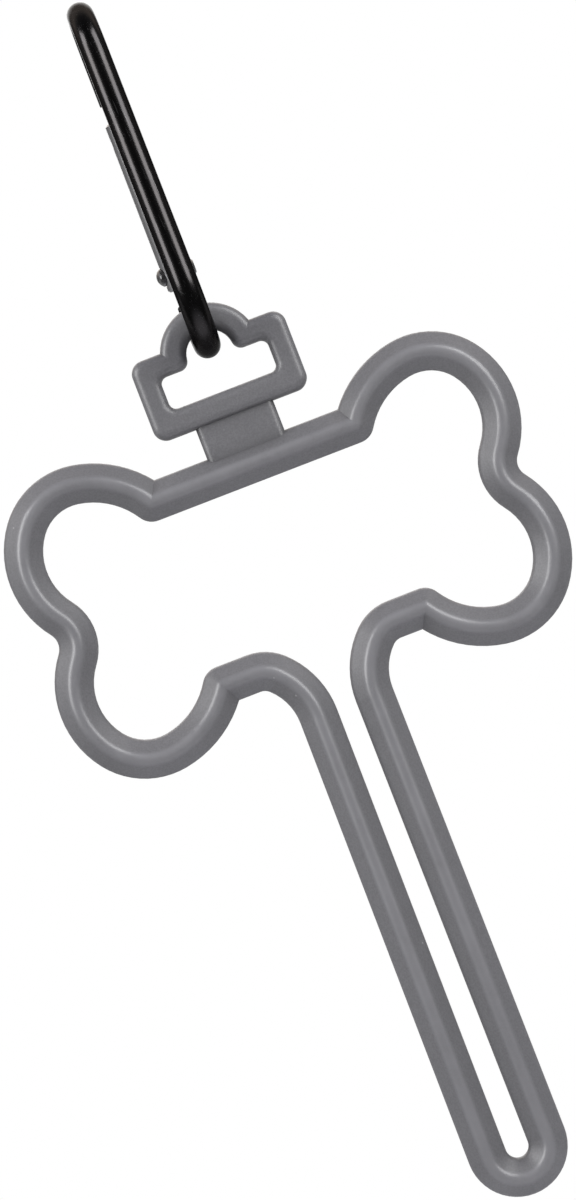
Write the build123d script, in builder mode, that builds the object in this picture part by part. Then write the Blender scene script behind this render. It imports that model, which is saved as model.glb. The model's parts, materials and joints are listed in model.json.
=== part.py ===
from build123d import *

import os
from math import asin, cos, degrees, radians, sin, sqrt

# A bag holder that hangs from a small spring-gate carabiner. Millimetres and degrees.
# Origin: the seat of the leash ring, inside the carabiner's top bend. +Z is up, the flat
# holder lies in the XZ plane and the carabiner in the YZ plane, its gate on the +Y side.

# ---------------------------------------------------------------- holder, one moulding
rod_width = 6.35  # rod of the bone outline and the stem: a square set on its corner
rod_edge_radius = 1.35  # rounding of the rod's four long edges

bar_half_height = 15.85  # centre line of the straight bars, above and below the middle
notch_half_width = 36.6  # from the middle to the centre line of each end notch
notch_radius = 5.85  # inward curve between the two lobes of one end
notch_turn = 37.5  # turn of the notch curve, from the middle to the flank
flank_radius = 12.8  # outer side of a lobe
flank_turn = 74.5
crown_radius = 10.1  # tip of a lobe
crown_turn = 62.5
shoulder_radius = 15.6  # from a lobe's tip down to its corner with the straight bar

mouth_half_width = 12.15  # where the lower bars start to turn down into the stem
mouth_entry_radius = 5.25
mouth_entry_turn = 44.0
mouth_throat_radius = 12.1
stem_flare = 0.19  # each leg of the stem leans outwards by this angle
stem_reach = 102.2  # from the middle of the bone down to the centre of the stem's end turn

frame_width = 26.4  # hanger loop at the top, outside
frame_height = 13.5
frame_corner_radius = 2.2
frame_thickness = 4.6
frame_side_bar = 4.0  # bars of the loop, beside, over and under its strap slot
frame_head_bar = 3.75
slot_floor = 4.25
slot_corner_radius = 1.25
arch_inner_radius = 3.9  # round arch over the slot, where the carabiner hangs
arch_bar = 4.25  # width of the arch's bar
arch_lift = 0.95  # centre of the arch, above the slot's top edge
arch_throat_radius = 1.6  # rounded lips where the arch opens into the slot
frame_edge_radius = 1.4  # rounding of the loop's front and back edges

neck_width = 13.35  # flat neck between the hanger loop and the bone
neck_height = 5.1  # bare height between them
neck_thickness = 2.8
neck_edge_radius = 1.2

# ---------------------------------------------------------------- carabiner
wire_diameter = 4.4
carabiner_length = 61.15  # outside, over both bends
top_bend_radius = 7.0  # centre line of the wire
bottom_bend_radius = 10.5
hang_gap = 0.2  # play between the arch and the wire that it hangs on

rivet_height = 15.8  # above the carabiner's lowest point
tongue_thickness = 1.7  # both ends of the wire are flattened into tongues
hinge_shoulder_turn = 20.0  # the flattening starts this far round the bottom bend
hinge_tongue_reach = 1.6  # flat end of the hinge tongue, above the rivet
hinge_tongue_rounding = 0.6  # corners of that end, which lift the plunger
nose_gap = 3.0  # bare tongue between the nose's shoulder and the gate
nose_tongue_length = 8.4
nose_tongue_rounding = 0.5
hook_play = 0.25  # around the latch pin in the nose's hook

gate_diameter = 5.2
gate_length = 29.2
gate_foot = 2.75  # from the rivet down to the gate's foot
gate_edge = 0.35  # bevel at both ends
side_play = 0.075  # beside each tongue in its slot
hinge_slot_reach = 2.95  # top of the foot's slot, above the rivet
nose_slot_depth = 6.3
bore_diameter = 2.8  # for the spring and its plunger
bore_reach = 12.5  # end of the bore, above the rivet

rivet_diameter = 1.6
rivet_play = 0.05  # the gate turns on the rivet
rivet_head_diameter = 3.0
rivet_head_end = 3.65  # top of the domed head, from the gate's middle plane
rivet_head_rim = 0.7  # straight part of the head, under its dome
rivet_tail_diameter = 2.7  # upset end on the other side
rivet_tail_end = 2.95
rivet_tail_bevel = 0.3
head_seat = 2.1  # flats milled on the gate's sides, from its middle plane
head_seat_diameter = 3.4

latch_pin_diameter = 1.5
latch_pin_depth = 3.4  # below the gate's top end
latch_pin_inset = 0.05  # each end lies this far inside the gate's side

plunger_gap = 0.06  # between the plunger and the tongue's flat end
plunger_play = 0.05  # around the plunger in its bore
plunger_head = 1.4
plunger_stem_diameter = 1.2
plunger_stem = 3.2
spring_play = 0.1  # around the spring in its bore
spring_wire = 0.35
spring_turns = 7
spring_seat_gap = 0.02  # at both ends of the spring

# ---------------------------------------------------------------- places worked out
wire_radius = wire_diameter / 2
top_bend_z = wire_radius - top_bend_radius
bottom_bend_z = wire_diameter - carabiner_length + wire_radius + bottom_bend_radius
leg_lean = degrees(asin((bottom_bend_radius - top_bend_radius) / (top_bend_z - bottom_bend_z)))
lean_cos = cos(radians(leg_lean))
lean_sin = sin(radians(leg_lean))
straight_leg = (top_bend_z - bottom_bend_z) * lean_cos

rivet_z = wire_diameter - carabiner_length + rivet_height
foot_leg = (rivet_z - bottom_bend_z - bottom_bend_radius * lean_sin) / lean_cos
rivet_y = bottom_bend_radius * lean_cos - foot_leg * lean_sin
nose_leg_top = straight_leg - foot_leg
gate_top = gate_length - gate_foot
nose_shoulder = gate_top + nose_gap
nose_tip = nose_shoulder - nose_tongue_length
latch_pin_reach = gate_top - latch_pin_depth

rod_side = rod_width / sqrt(2) + rod_edge_radius * (2 - sqrt(2))  # of the square, before rounding
frame_bottom = bar_half_height + rod_width / 2 + neck_height
slot_width = frame_width - 2 * frame_side_bar
slot_height = frame_height - frame_head_bar - slot_floor
slot_top = frame_bottom + slot_floor + slot_height
arch_centre = slot_top + arch_lift
bone_z = wire_diameter - carabiner_length + wire_diameter + hang_gap - arch_centre - arch_inner_radius

# The holder's own plane, seen from the front, with the middle of the bone as its origin.
bone_plane = Plane(origin=(0, 0, bone_z), x_dir=(1, 0, 0), z_dir=(0, -1, 0))
bone_floor = Plane(origin=(0, 0, bone_z), z_dir=(0, 0, 1))
# The gate's planes, with the rivet as their origin. On gate_side, X points outwards and Y
# runs up the gate; gate_section cuts across the gate.
rivet_point = Vector(0, rivet_y, rivet_z)
gate_up = Vector(0, -lean_sin, lean_cos)
gate_side = Plane(origin=rivet_point, x_dir=(0, lean_cos, lean_sin), z_dir=(1, 0, 0))
gate_section = Plane(origin=rivet_point, x_dir=(1, 0, 0), z_dir=gate_up)
rivet_half = Plane(origin=rivet_point, x_dir=(1, 0, 0), z_dir=(0, -lean_cos, -lean_sin))


def round_edges_across(piece, reach):
    """The round edges of the flat end that a tongue has at this reach above the rivet."""
    return piece.edges().filter_by(GeomType.CIRCLE).filter_by(
        lambda edge: abs((edge.center() - rivet_point).dot(gate_up) - reach) < 1e-4
    )


# ---------------------------------------------------------------- bag holder
# Right end of the bone: from the end notch over the upper lobe to its corner with the bar,
# then the same below.
with BuildLine(bone_plane) as end_line:
    bar_line = Line((0, bar_half_height), (notch_half_width, bar_half_height), mode=Mode.PRIVATE)
    notch = JernArc((notch_half_width, 0), (0, 1), notch_radius, -notch_turn)
    flank = JernArc(notch @ 1, notch % 1, flank_radius, flank_turn)
    crown = JernArc(flank @ 1, flank % 1, crown_radius, crown_turn)
    shoulder = JernArc(crown @ 1, crown % 1, shoulder_radius, bar_line)
    mirror(about=bone_floor)
corner_x = (shoulder @ 1).X

# The stem: from the lower right corner in along the bar, down one leg, round and up again.
with BuildLine(bone_plane) as stem_line:
    lower_bar = Line((corner_x, -bar_half_height), (mouth_half_width, -bar_half_height))
    entry = JernArc(lower_bar @ 1, lower_bar % 1, mouth_entry_radius, mouth_entry_turn)
    throat_turn = 90 + stem_flare - mouth_entry_turn
    throat = JernArc(entry @ 1, entry % 1, mouth_throat_radius, throat_turn)
    leg_drop = (throat @ 1).Z - bone_z + stem_reach
    leg = PolarLine(throat @ 1, leg_drop, direction=throat % 1, length_mode=LengthMode.VERTICAL)
    turn_radius = (leg @ 1).X / cos(radians(stem_flare))
    JernArc(leg @ 1, leg % 1, turn_radius, -90 - stem_flare)
    mirror(about=Plane.YZ)

# Hanger loop: a flat frame with a round arch on top, its front and back edges rounded.
with BuildPart() as hanger:
    with BuildSketch(bone_plane) as hanger_outline:
        with Locations((0, frame_bottom + frame_height / 2)):
            RectangleRounded(frame_width, frame_height, frame_corner_radius)
        with Locations((0, arch_centre)):
            Circle(arch_inner_radius + arch_bar)
    extrude(amount=frame_thickness / 2, both=True)
    with BuildSketch(bone_plane) as hanger_opening:
        with Locations((0, slot_top - slot_height / 2)):
            RectangleRounded(slot_width, slot_height, slot_corner_radius)
        with Locations((0, arch_centre)):
            Circle(arch_inner_radius)
        lips = hanger_opening.vertices().filter_by_position(Axis.X, -arch_inner_radius, arch_inner_radius)
        fillet(lips, arch_throat_radius)
    extrude(amount=frame_thickness / 2, both=True, mode=Mode.SUBTRACT)
    fillet(hanger.faces().filter_by(Axis.Y).edges(), frame_edge_radius)

with BuildPart() as neck:
    neck_bottom = bar_half_height
    neck_top = frame_bottom + slot_floor / 2
    with BuildSketch(bone_plane):
        with Locations((0, neck_bottom)):
            Rectangle(neck_width, neck_top - neck_bottom, align=(Align.CENTER, Align.MIN))
    extrude(amount=neck_thickness / 2, both=True)
    fillet(neck.edges().filter_by(Axis.Z), neck_edge_radius)

with BuildSketch() as rod_section:
    RectangleRounded(rod_side, rod_side, rod_edge_radius, rotation=45)

with BuildPart() as bag_holder:
    with BuildSketch(Plane(origin=end_line.wire() @ 0, x_dir=(0, 1, 0), z_dir=end_line.wire() % 0)):
        add(rod_section.sketch)
    sweep(path=end_line.wire())
    # Each corner of the bone is turned round, as if the rod's section were on a lathe.
    for corner_z in (bone_z + bar_half_height, bone_z - bar_half_height):
        with BuildSketch(Plane(origin=(corner_x, 0, corner_z), z_dir=(0, 0, 1))):
            add(rod_section.sketch)
            Rectangle(
                rod_width, rod_width, align=(Align.MAX, Align.CENTER), mode=Mode.SUBTRACT
            )
        revolve(axis=Axis((corner_x, 0, corner_z), (0, 1, 0)))
    mirror(about=Plane.YZ)
    with BuildSketch(Plane(origin=stem_line.wire() @ 0, x_dir=(0, 1, 0), z_dir=stem_line.wire() % 0)):
        add(rod_section.sketch)
    sweep(path=stem_line.wire())
    with BuildSketch(Plane(origin=(-corner_x, 0, bone_z + bar_half_height), z_dir=(1, 0, 0))):
        add(rod_section.sketch)
    extrude(amount=2 * corner_x)
    add(neck.part)
    add(hanger.part)

# ---------------------------------------------------------------- carabiner body
# Centre line of the wire, from the tip of the nose over the top, down the spine, round the
# bottom bend and up to the flat end of the hinge tongue.
with BuildLine(gate_side) as wire_line:
    nose_leg = Line((0, nose_tip), (0, nose_leg_top))
    top_bend = JernArc(nose_leg @ 1, nose_leg % 1, top_bend_radius, 180 - 2 * leg_lean)
    spine = PolarLine(top_bend @ 1, straight_leg, direction=top_bend % 1)
    bottom_bend = JernArc(spine @ 1, spine % 1, bottom_bend_radius, 180 + 2 * leg_lean)
    hinge_leg = Line(bottom_bend @ 1, (0, hinge_tongue_reach))

shoulder_share = 1 - hinge_shoulder_turn / (180 + 2 * leg_lean)
hinge_shoulder_plane = Plane(
    origin=bottom_bend @ shoulder_share, x_dir=(1, 0, 0), z_dir=bottom_bend % shoulder_share
)
nose_shoulder_plane = Plane(
    origin=rivet_point + gate_up * nose_shoulder, x_dir=(1, 0, 0), z_dir=-gate_up
)
cheek_offset = (tongue_thickness + wire_diameter) / 2

with BuildPart() as carabiner_body:
    with BuildSketch(Plane(origin=wire_line.wire() @ 0, z_dir=wire_line.wire() % 0)):
        Circle(wire_radius)
    sweep(path=wire_line.wire())
    # Cheeks cut away on both sides of each tongue.
    for shoulder_plane, tongue_length in (
        (hinge_shoulder_plane, rivet_height),
        (nose_shoulder_plane, 2 * nose_tongue_length),
    ):
        with BuildSketch(shoulder_plane):
            with Locations((cheek_offset, 0), (-cheek_offset, 0)):
                Rectangle(wire_diameter, 3 * wire_diameter)
        extrude(amount=tongue_length, mode=Mode.SUBTRACT)
    fillet(round_edges_across(carabiner_body, hinge_tongue_reach), hinge_tongue_rounding)
    fillet(round_edges_across(carabiner_body, nose_tip), nose_tongue_rounding)
    # Hook in the nose: the latch pin enters from inside and seats on the wire's centre line.
    with BuildSketch(gate_side):
        with Locations((0, latch_pin_reach)):
            Circle(latch_pin_diameter / 2 + hook_play)
            Rectangle(
                wire_diameter, latch_pin_diameter + 2 * hook_play, align=(Align.MAX, Align.CENTER)
            )
    extrude(amount=wire_diameter, both=True, mode=Mode.SUBTRACT)
    # Rivet hole.
    with BuildSketch(gate_side):
        Circle(rivet_diameter / 2)
    extrude(amount=wire_diameter, both=True, mode=Mode.SUBTRACT)

# ---------------------------------------------------------------- gate
with BuildPart() as gate:
    with BuildSketch(gate_section.offset(-gate_foot)):
        Circle(gate_diameter / 2)
    extrude(amount=gate_length)
    chamfer(gate.edges().filter_by(GeomType.CIRCLE), gate_edge)
    with BuildSketch(gate_section.offset(-gate_foot)):
        Circle(bore_diameter / 2)
    extrude(amount=gate_foot + bore_reach, mode=Mode.SUBTRACT)
    with BuildSketch(gate_side):
        with Locations((0, hinge_slot_reach)):
            Rectangle(2 * gate_diameter, 2 * gate_length, align=(Align.CENTER, Align.MAX))
        with Locations((0, gate_top - nose_slot_depth)):
            Rectangle(2 * gate_diameter, gate_length, align=(Align.CENTER, Align.MIN))
    extrude(amount=tongue_thickness / 2 + side_play, both=True, mode=Mode.SUBTRACT)
    with BuildSketch(gate_side):
        Circle(rivet_diameter / 2 + rivet_play)
        with Locations((0, latch_pin_reach)):
            Circle(latch_pin_diameter / 2)
    extrude(amount=gate_diameter, both=True, mode=Mode.SUBTRACT)
    with BuildSketch(gate_side.offset(head_seat), gate_side.offset(-head_seat - gate_diameter)):
        Circle(head_seat_diameter / 2)
    extrude(amount=gate_diameter, mode=Mode.SUBTRACT)

with BuildPart() as gate_latch_pin:
    with BuildSketch(gate_side):
        with Locations((0, latch_pin_reach)):
            Circle(latch_pin_diameter / 2)
    extrude(amount=gate_diameter / 2 - latch_pin_inset, both=True)

# ---------------------------------------------------------------- rivet
head_start = head_seat + rivet_play
head_edge = head_start + rivet_head_rim
head_rise = rivet_head_end - head_edge
dome_radius = (head_rise**2 + (rivet_head_diameter / 2) ** 2) / (2 * head_rise)
with BuildPart() as gate_hinge_rivet:
    with BuildSketch(rivet_half):
        with BuildLine():
            dome = RadiusArc((-rivet_head_end, 0), (-head_edge, rivet_head_diameter / 2), dome_radius)
            Polyline(
                dome @ 1,
                (-head_start, rivet_head_diameter / 2),
                (-head_start, rivet_diameter / 2),
                (head_start, rivet_diameter / 2),
                (head_start, rivet_tail_diameter / 2),
                (rivet_tail_end - rivet_tail_bevel, rivet_tail_diameter / 2),
                (rivet_tail_end, rivet_tail_diameter / 2 - rivet_tail_bevel),
                (rivet_tail_end, 0),
                dome @ 0,
            )
        make_face()
    revolve(axis=Axis(rivet_point, (1, 0, 0)))

# ---------------------------------------------------------------- spring and plunger
plunger_tip = hinge_tongue_reach + plunger_gap
plunger_back = plunger_tip + plunger_head
with BuildPart() as spring_plunger:
    with BuildSketch(gate_section.offset(plunger_tip)):
        Circle(bore_diameter / 2 - plunger_play)
    extrude(amount=plunger_head)
    with BuildSketch(gate_section.offset(plunger_back)):
        Circle(plunger_stem_diameter / 2)
    extrude(amount=plunger_stem)

coil_radius = bore_diameter / 2 - spring_play - spring_wire / 2
coil_start = plunger_back + spring_wire / 2 + spring_seat_gap
coil_height = bore_reach - plunger_back - spring_wire - 2 * spring_seat_gap
with BuildPart() as gate_spring:
    with BuildLine() as coil:
        Helix(
            coil_height / spring_turns,
            coil_height,
            coil_radius,
            center=rivet_point + gate_up * coil_start,
            direction=gate_up,
        )
    with BuildSketch(Plane(origin=coil.wire() @ 0, z_dir=coil.wire() % 0)):
        Circle(spring_wire / 2)
    sweep(path=coil.wire(), is_frenet=True)

# ---------------------------------------------------------------- export
os.makedirs("parts", exist_ok=True)
bag_holder.part.label = "bag_holder"
export_step(bag_holder.part, "parts/bag_holder.step")
carabiner_body.part.label = "carabiner_body"
export_step(carabiner_body.part, "parts/carabiner_body.step")
gate.part.label = "gate"
export_step(gate.part, "parts/gate.step")
gate_latch_pin.part.label = "gate_latch_pin"
export_step(gate_latch_pin.part, "parts/gate_latch_pin.step")
gate_hinge_rivet.part.label = "gate_hinge_rivet"
export_step(gate_hinge_rivet.part, "parts/gate_hinge_rivet.step")
spring_plunger.part.label = "spring_plunger"
export_step(spring_plunger.part, "parts/spring_plunger.step")
gate_spring.part.label = "gate_spring"
export_step(gate_spring.part, "parts/gate_spring.step")
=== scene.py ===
import json
from math import cos, pi, radians, sin

import bmesh
import bpy
from mathutils import Matrix, Vector


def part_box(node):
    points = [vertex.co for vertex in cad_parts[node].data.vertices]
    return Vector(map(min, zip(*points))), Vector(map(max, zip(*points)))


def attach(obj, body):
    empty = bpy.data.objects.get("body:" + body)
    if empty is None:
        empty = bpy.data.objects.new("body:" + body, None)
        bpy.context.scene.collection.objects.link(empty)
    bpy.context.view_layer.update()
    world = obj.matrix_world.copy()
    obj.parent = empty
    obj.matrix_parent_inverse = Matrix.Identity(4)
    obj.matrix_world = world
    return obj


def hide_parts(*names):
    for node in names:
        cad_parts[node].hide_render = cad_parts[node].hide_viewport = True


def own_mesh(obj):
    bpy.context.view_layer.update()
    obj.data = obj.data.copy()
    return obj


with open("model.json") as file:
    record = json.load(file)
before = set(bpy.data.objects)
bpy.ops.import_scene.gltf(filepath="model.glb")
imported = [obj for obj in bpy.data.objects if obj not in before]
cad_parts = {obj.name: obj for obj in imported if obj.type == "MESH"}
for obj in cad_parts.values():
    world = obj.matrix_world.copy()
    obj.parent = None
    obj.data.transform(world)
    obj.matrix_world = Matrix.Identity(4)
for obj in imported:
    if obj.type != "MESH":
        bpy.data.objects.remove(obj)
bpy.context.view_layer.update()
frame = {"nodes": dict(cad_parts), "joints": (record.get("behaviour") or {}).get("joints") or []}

# ---------------------------------------------------------------- carabiner body
# One length of aluminium wire, bent in a jig, its foot pressed flat and drilled for the rivet and
# its nose pressed flat and notched for the latch pin. It is polished and anodised black. The coat
# has hairline scratches, and is rubbed where a ring and the holder's arch sit in the bends.
coat_black = (0.044, 0.043, 0.046, 1)
coat_brown = (0.052, 0.048, 0.046, 1)
coat_worn = (0.5, 0.5, 0.51, 1)
black_roughness = 0.19
brown_roughness = 0.25
scratch_roughness = 0.34
rubbed_roughness = 0.4
scratch_wear = 0.12
seat_wear = 0.7
bend_seats = ((0, 0, 0.0004), (0, 0, -0.0527))  # inner side of the top and of the bottom bend
seat_core = 0.0018  # from a seat: rubbed within this, and not at all beyond the next
seat_reach = 0.0034


def add(tree, kind, inputs=None, **settings):
    """Adds a shader node with these settings, its inputs filled with values or links."""
    node = tree.nodes.new(kind)
    for name, value in settings.items():
        setattr(node, name, value)
    for name, value in (inputs or {}).items():
        if isinstance(value, bpy.types.NodeSocket):
            tree.links.new(value, node.inputs[name])
        else:
            node.inputs[name].default_value = value
    return node


def blend_colours(tree, share, first, second):
    """The colour between two others, by a share that changes over the surface."""
    # A Mix node's colours are its sockets 6 and 7, and the mixed colour is its output 2.
    return add(tree, "ShaderNodeMix", {0: share, 6: first, 7: second}, data_type="RGBA").outputs[2]


def blend_values(tree, share, first, second):
    """The value between two others, by a share that changes over the surface."""
    # A Mix node's values are its sockets 2 and 3, and the mixed value is its output 0.
    return add(tree, "ShaderNodeMix", {0: share, 2: first, 3: second}).outputs[0]


def ramp(tree, value, start, end, low=0.0, high=1.0):
    """A value that is low before start, high after end, and smooth between them."""
    inputs = {"Value": value, "From Min": start, "From Max": end, "To Min": low, "To Max": high}
    return add(tree, "ShaderNodeMapRange", inputs, interpolation_type="SMOOTHSTEP").outputs[0]


def maths(tree, operation, *values):
    """One sum on values that change over the surface."""
    return add(tree, "ShaderNodeMath", dict(enumerate(values)), operation=operation).outputs[0]


def vectors(tree, operation, *values):
    """One sum on vectors, whose answer is its Vector or its Value output."""
    return add(tree, "ShaderNodeVectorMath", dict(enumerate(values)), operation=operation).outputs


def bump(tree, height, strength, distance, coarser=None):
    """The normal of a surface with this relief, laid over that of a coarser relief."""
    inputs = {"Height": height, "Strength": strength, "Distance": distance}
    if coarser is not None:
        inputs["Normal"] = coarser
    return add(tree, "ShaderNodeBump", inputs).outputs[0]


def start_effect(name, inputs, masks):
    """An empty node group, the sockets that come into it and those that its masks go to."""
    group = bpy.data.node_groups.new(name, "ShaderNodeTree")
    group.interface.new_socket(name="Vector", in_out="INPUT", socket_type="NodeSocketVector")
    for label, value in inputs.items():
        kind = "NodeSocketFloat" if isinstance(value, float) else "NodeSocketVector"
        socket = group.interface.new_socket(name=label, in_out="INPUT", socket_type=kind)
        socket.default_value = value
    for label in masks:
        group.interface.new_socket(name=label, in_out="OUTPUT", socket_type="NodeSocketFloat")
    return group, add(group, "NodeGroupInput").outputs, add(group, "NodeGroupOutput").inputs


def lay(tree, effect, place, values):
    """Lays an effect over a material with these values, and gives the effect's masks."""
    return add(tree, "ShaderNodeGroup", {"Vector": place} | values, node_tree=effect).outputs


def start_material(name):
    """An empty material, its node tree and its object coordinates."""
    material = bpy.data.materials.new(name)
    material.use_nodes = True
    tree = material.node_tree
    tree.nodes.clear()
    return material, tree, add(tree, "ShaderNodeTexCoord").outputs["Object"]


def finish_material(tree, look):
    """Gives the material one shader with this look."""
    shader = add(tree, "ShaderNodeBsdfPrincipled", look)
    add(tree, "ShaderNodeOutputMaterial", {"Surface": shader.outputs[0]})


def dress(node_name, material):
    """Puts the material on a piece of the frame."""
    piece = frame["nodes"][node_name]
    if not piece.material_slots:
        piece.data.materials.append(None)
    for slot in piece.material_slots:
        slot.link = "DATA"
        slot.material = material


# Surface grain: the fine tooth and the slow patches of a worked surface.
surface_grain, given, made = start_effect(
    "surface_grain", {"Grain Scale": 4000.0, "Patch Scale": 120.0}, ["Grain", "Patches"]
)
tooth = {"Vector": given["Vector"], "Scale": given["Grain Scale"], "Detail": 2.0, "Roughness": 0.6}
cloud = {"Vector": given["Vector"], "Scale": given["Patch Scale"], "Detail": 3.0, "Roughness": 0.55}
surface_grain.links.new(add(surface_grain, "ShaderNodeTexNoise", tooth).outputs[0], made["Grain"])
surface_grain.links.new(add(surface_grain, "ShaderNodeTexNoise", cloud).outputs[0], made["Patches"])

# Hairlines: thin lines that run about one way, in broken stretches. Turn says which way,
# the two scales say how fine and how long they are, and Amount says how many there are.
no_line_level = 0.8  # a value that the noise hardly reaches, so an Amount of 0 draws no line
line_softness = 0.06
hairlines, given, made = start_effect(
    "hairlines",
    {"Turn": (0.0, 0.0, 0.0), "Fineness": 5000.0, "Length Scale": 150.0, "Amount": 0.1},
    ["Lines"],
)
turned = add(hairlines, "ShaderNodeMapping", {"Vector": given["Vector"], "Rotation": given["Turn"]})
fineness = given["Fineness"]
stretch = add(hairlines, "ShaderNodeCombineXYZ", {"X": fineness, "Y": fineness, "Z": given["Length Scale"]})
drawn_out = vectors(hairlines, "MULTIPLY", turned.outputs[0], stretch.outputs[0])["Vector"]
thread_noise = {"Vector": drawn_out, "Scale": 1.0, "Detail": 1.0, "Distortion": 0.3}
threads = add(hairlines, "ShaderNodeTexNoise", thread_noise).outputs[0]
line_start = maths(hairlines, "SUBTRACT", no_line_level, given["Amount"])
line_full = maths(hairlines, "ADD", line_start, line_softness)
hairlines.links.new(ramp(hairlines, threads, line_start, line_full), made["Lines"])

# Worn edges: where the surface turns away within Radius, in patches of the Break Scale.
worn_edges, given, made = start_effect("worn_edges", {"Radius": 0.0003, "Break Scale": 700.0}, ["Wear"])
rounded = add(worn_edges, "ShaderNodeBevel", {"Radius": given["Radius"]}, samples=6).outputs[0]
true_normal = add(worn_edges, "ShaderNodeNewGeometry").outputs["Normal"]
agreement = vectors(worn_edges, "DOT_PRODUCT", rounded, true_normal)["Value"]
turned_away = maths(worn_edges, "SUBTRACT", 1.0, agreement)
break_noise = {"Vector": given["Vector"], "Scale": given["Break Scale"], "Detail": 3.0}
broken = add(worn_edges, "ShaderNodeTexNoise", break_noise).outputs[0]
edge = ramp(worn_edges, turned_away, start=0.01, end=0.12)
stretches = ramp(worn_edges, broken, start=0.4, end=0.62)
worn_edges.links.new(maths(worn_edges, "MULTIPLY", edge, stretches), made["Wear"])

black_anodised, tree, place = start_material("black_anodised")
grain = lay(tree, surface_grain, place, {"Grain Scale": 6000.0, "Patch Scale": 160.0})
along = {"Turn": (radians(4), radians(3), 0), "Amount": 0.13}
across = {"Turn": (radians(70), radians(25), 0), "Length Scale": 400.0, "Amount": 0.1}
scratches_along = lay(tree, hairlines, place, along)["Lines"]
scratches_across = lay(tree, hairlines, place, across)["Lines"]
scratches = maths(tree, "MAXIMUM", scratches_along, scratches_across)
edge_wear = lay(tree, worn_edges, place, {"Radius": 0.00025})["Wear"]
seat_spots = []
for seat in bend_seats:
    distance = vectors(tree, "DISTANCE", place, seat)["Value"]
    seat_spots.append(ramp(tree, distance, seat_core, seat_reach, low=1.0, high=0.0))
rubbed = maths(tree, "MAXIMUM", *seat_spots)
rubbed = maths(tree, "MULTIPLY", rubbed, ramp(tree, grain["Patches"], start=0.35, end=0.6))
worn = maths(tree, "MAXIMUM", edge_wear, maths(tree, "MULTIPLY", rubbed, seat_wear))
colour = blend_colours(tree, grain["Patches"], coat_black, coat_brown)
colour = blend_colours(tree, maths(tree, "MULTIPLY", scratches, scratch_wear), colour, coat_worn)
roughness = blend_values(tree, grain["Patches"], black_roughness, brown_roughness)
roughness = blend_values(tree, scratches, roughness, scratch_roughness)
look = {
    "Base Color": blend_colours(tree, worn, colour, coat_worn),
    "Metallic": 1.0,
    "Roughness": blend_values(tree, rubbed, roughness, rubbed_roughness),
    "Specular Tint": (0.45, 0.45, 0.45, 1),
    "Normal": bump(tree, grain["Grain"], strength=0.1, distance=0.000004),
}
finish_material(tree, look)
dress("carabiner_body", black_anodised)

# ---------------------------------------------------------------- gate
# A plain drawn aluminium rod, slotted at both ends to straddle the body's foot and nose, with
# a blind bore in its lower end for the spring. It isn't coated, and keeps its drawing lines.
gate_bright = (0.56, 0.56, 0.57, 1)
gate_dull = (0.4, 0.4, 0.41, 1)
gate_rubbed = (0.7, 0.7, 0.7, 1)
bright_roughness = 0.34
dull_roughness = 0.42
gate_edge_roughness = 0.25
line_shade = 0.35
line_depth = 0.8
joints = {joint["name"]: joint for joint in frame["joints"]}
hinge_place = Vector(joints["gate_hinge"]["pos_m"])
gate_way = Vector(joints["plunger_slide"]["axis"]).normalized()  # from the hinge to the latch
gate_lean = gate_way.angle(Vector((0, 0, 1)))

bare_aluminium, tree, place = start_material("bare_aluminium")
grain = lay(tree, surface_grain, place, {"Grain Scale": 7000.0, "Patch Scale": 220.0})
drawn = {"Turn": (-gate_lean, 0, 0), "Fineness": 9000.0, "Length Scale": 90.0, "Amount": 0.3}
drawing_lines = lay(tree, hairlines, place, drawn)["Lines"]
edge_wear = lay(tree, worn_edges, place, {"Radius": 0.0002})["Wear"]
colour = blend_colours(tree, grain["Patches"], gate_dull, gate_bright)
colour = blend_colours(tree, maths(tree, "MULTIPLY", drawing_lines, line_shade), colour, gate_dull)
relief = maths(tree, "ADD", grain["Grain"], maths(tree, "MULTIPLY", drawing_lines, -line_depth))
roughness = blend_values(tree, grain["Patches"], dull_roughness, bright_roughness)
look = {
    "Base Color": blend_colours(tree, edge_wear, colour, gate_rubbed),
    "Metallic": 1.0,
    "Roughness": blend_values(tree, edge_wear, roughness, gate_edge_roughness),
    "Normal": bump(tree, relief, strength=0.3, distance=0.000006),
}
finish_material(tree, look)
dress("gate", bare_aluminium)

# ---------------------------------------------------------------- latch pin
# A short length of ground steel wire, pressed across the slotted head of the gate, where
# it drops into the hook of the nose. Its two flush ends show the rings of the cut-off tool.
pin_clean = (0.4, 0.4, 0.39, 1)
pin_browned_and_shaded = (0.2, 0.18, 0.16, 1)
clean_steel_roughness = 0.26
dirty_steel_roughness = 0.5
ring_pitch = 0.00012
ring_height = 0.4  # of the grain's height
shade_reach = 0.0006  # how near another surface lies in a hollow that gets painted shade


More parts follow.
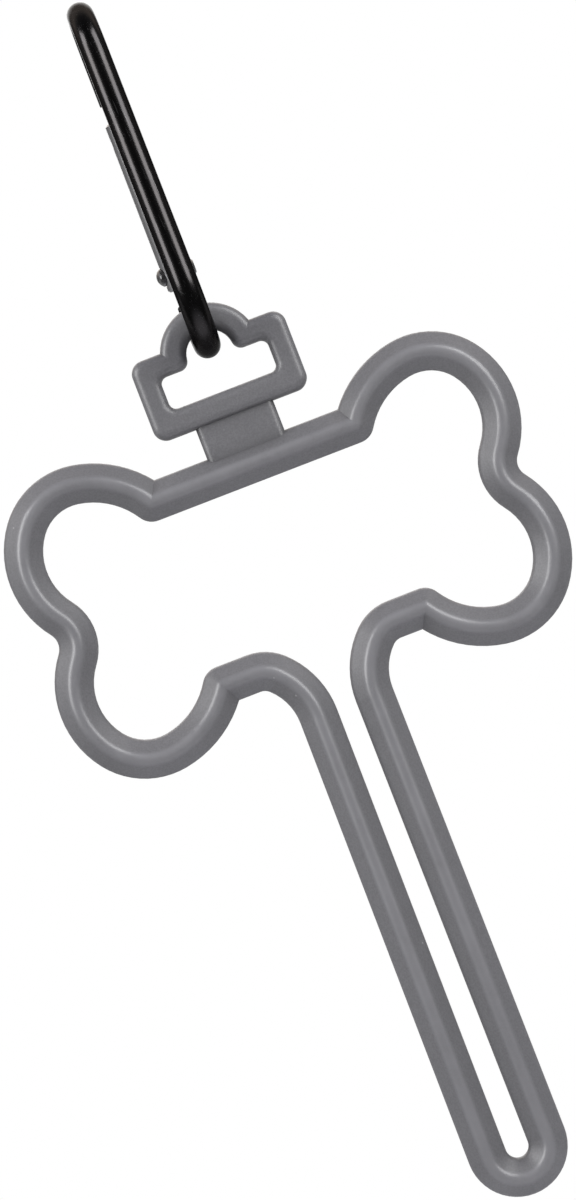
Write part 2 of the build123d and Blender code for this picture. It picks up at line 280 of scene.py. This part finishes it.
def turned_steel(name, node_name, clean, dirt_and_shade_colour):
    """Satin steel with turning rings round the piece's X axis, dirty in patches, with painted shade in its
    hollows.
    """
    low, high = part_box(node_name)
    material, tree, place = start_material(name)
    grain = lay(tree, surface_grain, place, {"Grain Scale": 8000.0, "Patch Scale": 900.0})
    centred = vectors(tree, "SUBTRACT", place, (low + high) / 2)["Vector"]
    flattened = vectors(tree, "MULTIPLY", centred, (0, 1, 1))["Vector"]
    from_axis = vectors(tree, "LENGTH", flattened)["Value"]
    rings = maths(tree, "SINE", maths(tree, "MULTIPLY", from_axis, 2 * pi / ring_pitch))
    relief = maths(tree, "ADD", grain["Grain"], maths(tree, "MULTIPLY", rings, ring_height))
    # Painted shade: the hollows, where another surface lies close, take the darker colour; the patches are
    # real oil and dirt
    hollow = add(tree, "ShaderNodeAmbientOcclusion", {"Distance": shade_reach}, samples=8).outputs["AO"]
    hollow_painted_shade = ramp(tree, hollow, 0.35, 0.85, low=1.0, high=0.0)
    patch_dirt = ramp(tree, grain["Patches"], 0.5, 0.7, low=0.0, high=0.5)
    dirt_and_painted_shade = maths(tree, "MAXIMUM", hollow_painted_shade, patch_dirt)
    look = {
        "Base Color": blend_colours(tree, dirt_and_painted_shade, clean, dirt_and_shade_colour),
        "Metallic": 1.0,
        "Roughness": blend_values(tree, dirt_and_painted_shade, clean_steel_roughness, dirty_steel_roughness),
        "Normal": bump(tree, relief, strength=0.35, distance=0.000006),
    }
    finish_material(tree, look)
    return material


dress("gate_latch_pin", turned_steel("pin_steel", "gate_latch_pin", pin_clean, pin_browned_and_shaded))

# ---------------------------------------------------------------- gate spring
# A compression spring of bright drawn wire in the gate's bore, its end turns wound close.
# In the real catch it shortens as the gate opens and the plunger is pushed further in; here the
# coil is wound at one length and moves with the gate.
spring_bright = (0.5, 0.5, 0.5, 1)
spring_oiled = (0.34, 0.32, 0.29, 1)
dry_roughness = 0.34
oiled_roughness = 0.2
coil_radius = 0.001125
wire_radius = 0.000175
wire_sides = 12
coil_bottom = 0.003255  # middle of the wire at each end, from the hinge along the gate
coil_top = 0.012305
coil_turns = 7
steps_in_a_turn = 30
close_turn_rise = 0.00036
coil_rise = coil_top - coil_bottom
open_turns = coil_turns - 2
open_turn_rise = (coil_rise - 2 * close_turn_rise) / open_turns

coil_side = Vector((1, 0, 0))
wire_start = hinge_place + gate_way * coil_bottom + coil_side * coil_radius
across_wire = Matrix((coil_side, gate_way, coil_side.cross(gate_way))).transposed().to_4x4()
coil = bmesh.new()
bmesh.ops.create_circle(
    coil, segments=wire_sides, radius=wire_radius, matrix=Matrix.Translation(wire_start) @ across_wire
)
wound_end = coil.verts[:] + coil.edges[:]
for turns, turn_rise in ((1, close_turn_rise), (open_turns, open_turn_rise), (1, close_turn_rise)):
    wound = bmesh.ops.spin(
        coil,
        geom=wound_end,
        cent=hinge_place,
        axis=gate_way,
        dvec=gate_way * (turn_rise / steps_in_a_turn),
        angle=2 * pi * turns,
        steps=turns * steps_in_a_turn,
    )
    wound_end = wound["geom_last"]
bmesh.ops.holes_fill(coil, edges=coil.edges, sides=wire_sides)
bmesh.ops.recalc_face_normals(coil, faces=coil.faces)
for face in coil.faces:
    face.smooth = len(face.verts) == 4
coil_mesh = bpy.data.meshes.new("gate_spring_coil")
coil.to_mesh(coil_mesh)
coil.free()
gate_spring_coil = bpy.data.objects.new("gate_spring_coil", coil_mesh)
bpy.context.scene.collection.objects.link(gate_spring_coil)

spring_steel, tree, place = start_material("spring_steel")
grain = lay(tree, surface_grain, place, {"Grain Scale": 9000.0, "Patch Scale": 1100.0})
oil = ramp(tree, grain["Patches"], start=0.4, end=0.65)
look = {
    "Base Color": blend_colours(tree, oil, spring_bright, spring_oiled),
    "Metallic": 1.0,
    "Roughness": blend_values(tree, oil, dry_roughness, oiled_roughness),
    "Normal": bump(tree, grain["Grain"], strength=0.2, distance=0.000004),
}
finish_material(tree, look)
coil_mesh.materials.append(spring_steel)
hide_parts("gate_spring")
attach(gate_spring_coil, "gate")
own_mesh(gate_spring_coil)

# ---------------------------------------------------------------- spring plunger
# A small turned steel pushrod in the gate's bore. The spring presses it on to the body's
# flat foot. It sits out of sight, in a film of oil that has browned it in patches, and shade is painted
# into its hollows in the same brown.
plunger_clean = (0.45, 0.45, 0.44, 1)
plunger_oiled_and_shaded = (0.24, 0.22, 0.2, 1)
dress("spring_plunger", turned_steel("plunger_steel", "spring_plunger", plunger_clean, plunger_oiled_and_shaded))

# ---------------------------------------------------------------- hinge rivet
# A soft steel rivet through the gate's lower end and the body's foot. One head is domed, the
# other is upset in the press, and both are dull, with patches of dark grease, and shade is painted
# dark into the gap round them.
rivet_clean = (0.3, 0.3, 0.305, 1)
rivet_grease_and_shade = (0.06, 0.056, 0.054, 1)
dress("gate_hinge_rivet", turned_steel("rivet_steel", "gate_hinge_rivet", rivet_clean, rivet_grease_and_shade))

# ---------------------------------------------------------------- bag holder
# One moulding in tough satin plastic, cool grey: hanger loop, neck, open bone and slotted stem.
# Its skin has the fine grain of the mould and a faint parting line round its middle depth. The
# ridges are rubbed smooth, and they and the worn rounded edges are painted paler as a highlight.
# Shade is painted into its creases and hollows, and a little dust is on it.
holder_grey = (0.149, 0.1474, 0.1493, 1)
holder_pale = (0.173, 0.1712, 0.1734, 1)
# a paler grey for real scuffs and worn edges, and for the highlight painted along ridges and rounded edges
rubbed_and_highlight_pale = (0.206, 0.204, 0.2065, 1)
dust_pale = (0.3, 0.3, 0.295, 1)
# dark grey for the pits of the grain, and for the shade painted into creases and hollows
grime_and_shade = (0.07, 0.069, 0.07, 1)
grey_roughness = 0.46
pale_roughness = 0.38
ridge_roughness = 0.37
holder_edge_roughness = 0.33
edge_wear_and_highlight_paling = 0.35
scuff_paling = 0.4
crease_width = 0.0009
hollow_width = 0.0032
seam_inner = 0.00003
seam_outer = 0.00011
dust_scale = 430.0  # cells in a metre, each with room for a speck
dust_left_out = 0.93  # share of the cells that hold no speck
ridge_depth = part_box("bag_holder")[1].y

holder_plastic, tree, place = start_material("holder_plastic")
grain = lay(tree, surface_grain, place, {"Grain Scale": 3400.0, "Patch Scale": 140.0})
edge_wear = lay(tree, worn_edges, place, {"Radius": 0.0009, "Break Scale": 420.0})["Wear"]
scuffed = {"Turn": (0, radians(-28), 0), "Fineness": 3600.0, "Length Scale": 260.0, "Amount": 0.06}
scuffs = lay(tree, hairlines, place, scuffed)["Lines"]
depth = maths(tree, "ABSOLUTE", add(tree, "ShaderNodeSeparateXYZ", {"Vector": place}).outputs["Y"])
# Painted highlight: the crest of the rods, nearest the front and back faces, is paler in colour; its lower
# roughness there is the real rubbing
ridge_rubbed_and_highlight = ramp(tree, depth, 0.75 * ridge_depth, 0.97 * ridge_depth)
ridge_rubbed_and_highlight = maths(tree, "MULTIPLY", ridge_rubbed_and_highlight, ramp(tree, grain["Patches"], 0.2, 0.7, low=0.5, high=1.0))
pits = ramp(tree, grain["Grain"], 0.35, 0.65, low=0.32, high=0.0)
# Painted shade: these occlusion masks darken the colour in creases and hollows, where other surfaces lie
# close
crease = add(tree, "ShaderNodeAmbientOcclusion", {"Distance": crease_width}, samples=16).outputs["AO"]
hollow = add(tree, "ShaderNodeAmbientOcclusion", {"Distance": hollow_width}, samples=16).outputs["AO"]
crease_painted_shade = ramp(tree, crease, 0.84, 0.98, low=0.75, high=0.0)
hollow_painted_shade = ramp(tree, hollow, 0.82, 1.0, low=0.6, high=0.0)
dirt_and_painted_shade = maths(tree, "MAXIMUM", crease_painted_shade, hollow_painted_shade)
dust = add(tree, "ShaderNodeTexVoronoi", {"Vector": place, "Scale": dust_scale}).outputs
cell_draw = add(tree, "ShaderNodeSeparateColor", {"Color": dust["Color"]}).outputs[0]
dust_chosen = maths(tree, "GREATER_THAN", cell_draw, dust_left_out)
dust_spots = ramp(tree, dust["Distance"], 0.05, 0.085, low=1.0, high=0.0)
specks = maths(tree, "MULTIPLY", dust_spots, dust_chosen)
colour = blend_colours(tree, grain["Patches"], holder_grey, holder_pale)
colour = blend_colours(tree, pits, colour, grime_and_shade)
colour = blend_colours(tree, ridge_rubbed_and_highlight, colour, rubbed_and_highlight_pale)
# The rounded edges turn paler both from wear and as a painted highlight
colour = blend_colours(tree, maths(tree, "MULTIPLY", edge_wear, edge_wear_and_highlight_paling), colour, rubbed_and_highlight_pale)
colour = blend_colours(tree, maths(tree, "MULTIPLY", scuffs, scuff_paling), colour, rubbed_and_highlight_pale)
# painted shade in the creases and hollows
colour = blend_colours(tree, dirt_and_painted_shade, colour, grime_and_shade)
roughness = blend_values(tree, grain["Patches"], grey_roughness, pale_roughness)
roughness = blend_values(tree, ridge_rubbed_and_highlight, roughness, ridge_roughness)
waves = add(tree, "ShaderNodeTexNoise", {"Vector": place, "Scale": 190.0, "Detail": 1.5}).outputs[0]
seam = ramp(tree, depth, seam_inner, seam_outer, low=1.0, high=0.0)
wavy_skin = bump(tree, waves, strength=0.5, distance=0.00016)
seamed_skin = bump(tree, seam, strength=0.6, distance=0.00006, coarser=wavy_skin)
look = {
    "Base Color": blend_colours(tree, specks, colour, dust_pale),
    "Roughness": blend_values(tree, edge_wear, roughness, holder_edge_roughness),
    "Specular IOR Level": 0.95,
    "Normal": bump(tree, grain["Grain"], strength=0.3, distance=0.00002, coarser=seamed_skin),
}
finish_material(tree, look)
dress("bag_holder", holder_plastic)

# ---------------------------------------------------------------- camera
# It looks straight at the flat holder from a little to its left, and it is rolled, so that
# the whole object leans over to the left in the picture.
view_distance = 0.6
view_turn = radians(0.95)
view_lean = radians(21.13)
view_centre = Vector((-0.002686, 0, -0.097663))
picture_pixels_high = 1200
pixels_in_a_metre = 6200  # at the holder's plane
film_height = 36  # millimetres

level_right = Vector((cos(view_turn), -sin(view_turn), 0))
level_up = Vector((0, 0, 1))
view_right = level_right * cos(view_lean) - level_up * sin(view_lean)
view_up = level_right * sin(view_lean) + level_up * cos(view_lean)
view_back = view_right.cross(view_up)
rolled = Matrix((view_right, view_up, view_back)).transposed().to_4x4()
camera = bpy.data.objects.new("camera", bpy.data.cameras.new("camera"))
camera.data.sensor_width = film_height  # Blender's name for the longer side, upright here
camera.data.lens = film_height * view_distance * pixels_in_a_metre / picture_pixels_high
camera.data.clip_start = 0.05
camera.data.clip_end = 20
camera.matrix_world = Matrix.Translation(view_centre + view_back * view_distance) @ rolled
bpy.context.scene.collection.objects.link(camera)
bpy.context.scene.camera = camera
bpy.context.scene.view_settings.view_transform = "Standard"

# ---------------------------------------------------------------- softboxes
# Two upright softboxes in front, one on each side and above the level of the object, and
# a weak one behind and above it.
object_middle = Vector((0, 0, -0.09))
softbox_distance = 0.6


def add_softbox(name, turn, rise, width, height, radiance):
    """A soft lamp, turned from the front and raised from the level, aimed at the object."""
    away = Vector((sin(turn) * cos(rise), -cos(turn) * cos(rise), sin(rise)))
    lamp = bpy.data.lights.new(name, "AREA")
    lamp.shape = "RECTANGLE"
    lamp.size = width
    lamp.size_y = height
    lamp.energy = radiance * pi * width * height
    softbox = bpy.data.objects.new(name, lamp)
    softbox.location = object_middle + away * softbox_distance
    softbox.rotation_mode = "QUATERNION"
    softbox.rotation_quaternion = away.to_track_quat("Z", "Y")
    softbox.visible_camera = False
    bpy.context.scene.collection.objects.link(softbox)


add_softbox("softbox_left", radians(-61), radians(24), width=0.3, height=0.5, radiance=5.7)
add_softbox("softbox_right", radians(52), radians(24), width=0.32, height=0.5, radiance=5.3)
add_softbox("softbox_back", radians(180), radians(30), width=0.5, height=0.4, radiance=1.6)

# ---------------------------------------------------------------- room
# A room that is dark below and pale blue overhead. The camera sees it as plain white, and so
# does polished metal straight behind the object. Elsewhere the metal mirrors a dim studio,
# with a warm white ceiling towards the back.
room_below = (0.04, 0.04, 0.036, 1)
room_above = (0.66, 0.66, 0.8, 1)
warm_ceiling = (0.95, 0.84, 0.74, 1)
white = (1, 1, 1, 1)
studio_front = 0.04
studio_back = 0.16

world = bpy.data.worlds.new("room")
bpy.context.scene.world = world
world.use_nodes = True
tree = world.node_tree
tree.nodes.clear()
ray = add(tree, "ShaderNodeLightPath").outputs
way = add(tree, "ShaderNodeTexCoord").outputs["Generated"]
way = add(tree, "ShaderNodeSeparateXYZ", {"Vector": way}).outputs
room_light = blend_colours(tree, ramp(tree, way["Z"], start=-0.4, end=1.0), room_below, room_above)
studio = ramp(tree, way["Y"], start=-0.5, end=0.3, low=studio_front, high=studio_back)
studio = blend_values(tree, ramp(tree, way["Y"], start=0.96, end=0.99), studio, 1.0)
high_up = ramp(tree, way["Z"], start=0.15, end=0.6)
to_the_back = ramp(tree, way["Y"], start=0.0, end=0.5)
mirrored = blend_colours(tree, maths(tree, "MULTIPLY", high_up, to_the_back), studio, warm_ceiling)
mirror_ray = maths(tree, "MAXIMUM", ray["Is Glossy Ray"], ray["Is Transmission Ray"])
seen = blend_colours(tree, mirror_ray, room_light, mirrored)
seen = blend_colours(tree, ray["Is Camera Ray"], seen, white)
background = add(tree, "ShaderNodeBackground", {"Color": seen, "Strength": 1.0})
add(tree, "ShaderNodeOutputWorld", {"Surface": background.outputs[0]})

# ---------------------------------------------------------------- floor
# A sheet of matt pale paper, well below the hanging object. It takes the object's shadow,
# and fades out into the white of the room.
paper_low = (0.54, 0.54, 0.53, 1)
paper_high = (0.58, 0.58, 0.57, 1)
fibre_scale = 900.0
camera_lift = 0.5
mirrored_front = 0.06
mirrored_back = 0.4
floor_height = -0.3
floor_half_size = 3.0
fade_start = 0.08  # from the middle of the floor
fade_end = 0.3

sheet = bmesh.new()
floor_place = Matrix.Translation((0, 0, floor_height))
bmesh.ops.create_grid(sheet, x_segments=1, y_segments=1, size=floor_half_size, matrix=floor_place)
floor_mesh = bpy.data.meshes.new("floor")
sheet.to_mesh(floor_mesh)
sheet.free()
floor = bpy.data.objects.new("floor", floor_mesh)
bpy.context.scene.collection.objects.link(floor)

pale_paper, tree, place = start_material("pale_paper")
ray = add(tree, "ShaderNodeLightPath").outputs
mirror_ray = maths(tree, "MAXIMUM", ray["Is Glossy Ray"], ray["Is Transmission Ray"])
from_middle = vectors(tree, "DISTANCE", place, (0, 0, floor_height))["Value"]
far = ramp(tree, from_middle, fade_start, fade_end)
fibres = add(tree, "ShaderNodeTexNoise", {"Vector": place, "Scale": fibre_scale, "Detail": 3.0})
paper_colour = blend_colours(tree, fibres.outputs[0], paper_low, paper_high)
paper = add(tree, "ShaderNodeBsdfDiffuse", {"Color": paper_colour}).outputs[0]
lift = maths(tree, "MULTIPLY", ray["Is Camera Ray"], camera_lift)
glow = add(tree, "ShaderNodeEmission", {"Strength": lift}).outputs[0]
near_floor = add(tree, "ShaderNodeAddShader", {0: paper, 1: glow}).outputs[0]
white_floor = add(tree, "ShaderNodeEmission", {"Strength": 1.0}).outputs[0]
backwards = add(tree, "ShaderNodeSeparateXYZ", {"Vector": place}).outputs["Y"]
mirrored_light = ramp(tree, backwards, 0.0, fade_end, low=mirrored_front, high=mirrored_back)
mirrored_floor = add(tree, "ShaderNodeEmission", {"Strength": mirrored_light}).outputs[0]
camera_far = maths(tree, "MULTIPLY", ray["Is Camera Ray"], far)
mirror_far = maths(tree, "MULTIPLY", mirror_ray, far)
floor_look = add(tree, "ShaderNodeMixShader", {0: camera_far, 1: near_floor, 2: white_floor}).outputs[0]
floor_look = add(tree, "ShaderNodeMixShader", {0: mirror_far, 1: floor_look, 2: mirrored_floor}).outputs[0]
add(tree, "ShaderNodeOutputMaterial", {"Surface": floor_look})
floor_mesh.materials.append(pale_paper)
